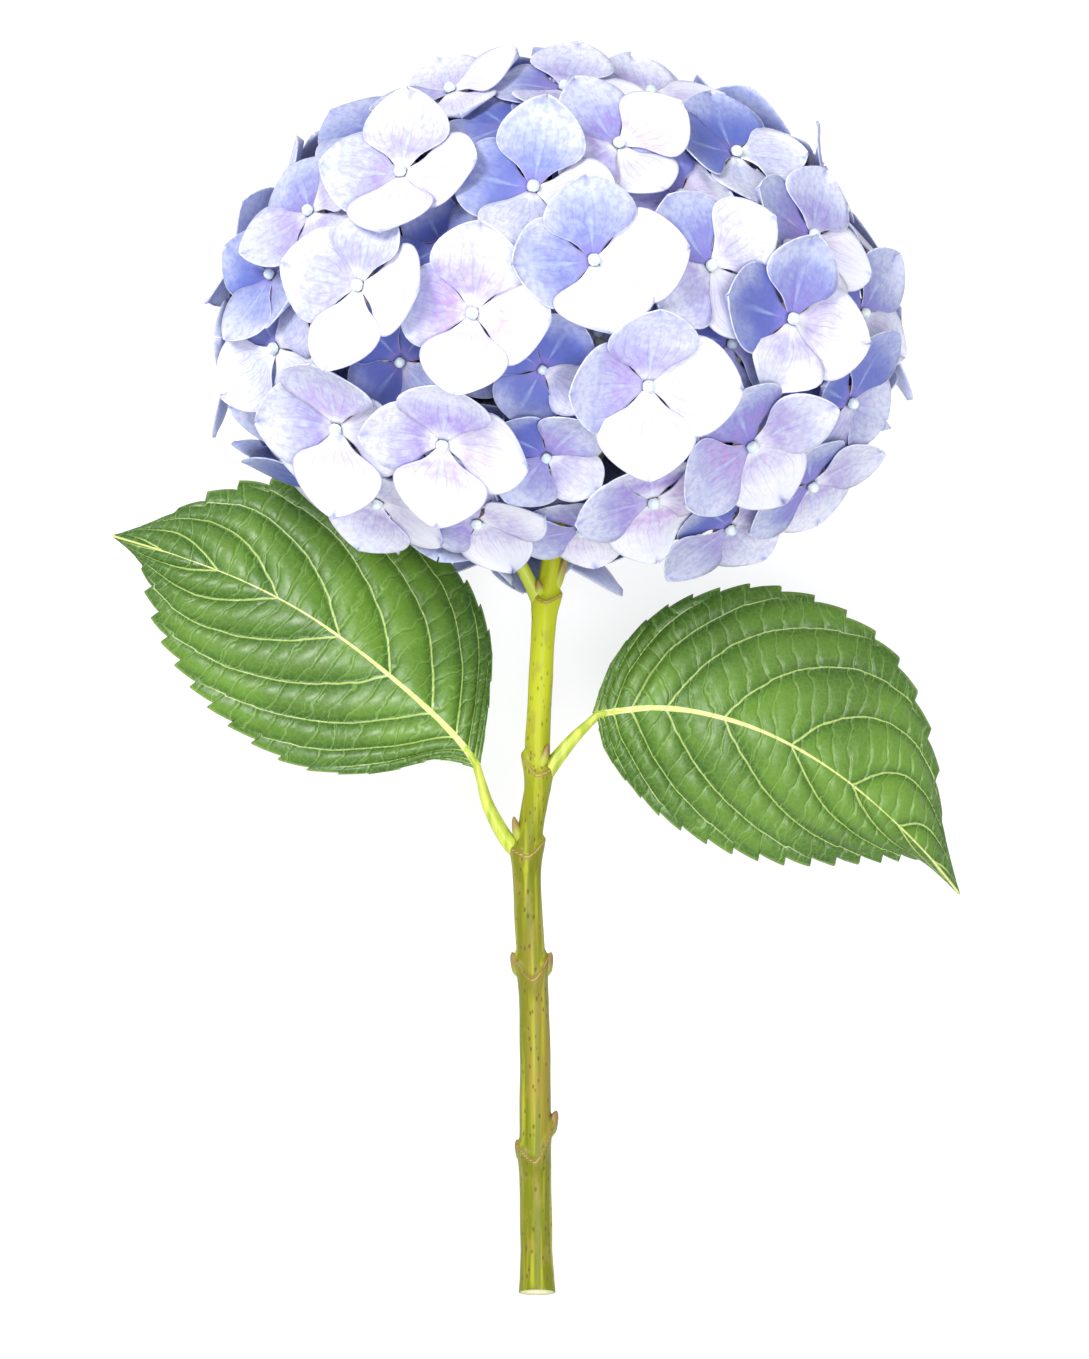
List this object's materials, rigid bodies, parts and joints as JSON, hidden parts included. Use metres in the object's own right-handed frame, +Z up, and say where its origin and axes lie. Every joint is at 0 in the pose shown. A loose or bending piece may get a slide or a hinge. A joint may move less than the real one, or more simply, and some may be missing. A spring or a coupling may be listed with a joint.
{
  "type": "cut hydrangea",
  "caption": "Cut mophead hydrangea lying down: a domed head of four-sepalled florets on a jointed stem with a pair of toothed leaves.",
  "frame": {"origin": "on the table, under the middle of the flower's bounding box", "axes": "+Z up from the table; +Y along the lying flower, from the cut end of the stem to the head; +X across the leaves, to the right seen from above with the head away"},
  "size_m": [0.211, 0.2872, 0.1575],
  "materials": {
    "stem": "smooth green bark of a living shoot, satin",
    "leaf": "living leaf, satin above and matte below",
    "sepals": "thin matte sepals, pale blue and lilac, nearly white where lit"
  },
  "bodies": {
    "root": {"stem": "stem", "leaf_left": "leaf", "leaf_right": "leaf", "flower_head": "sepals"}
  },
  "joints": []
}
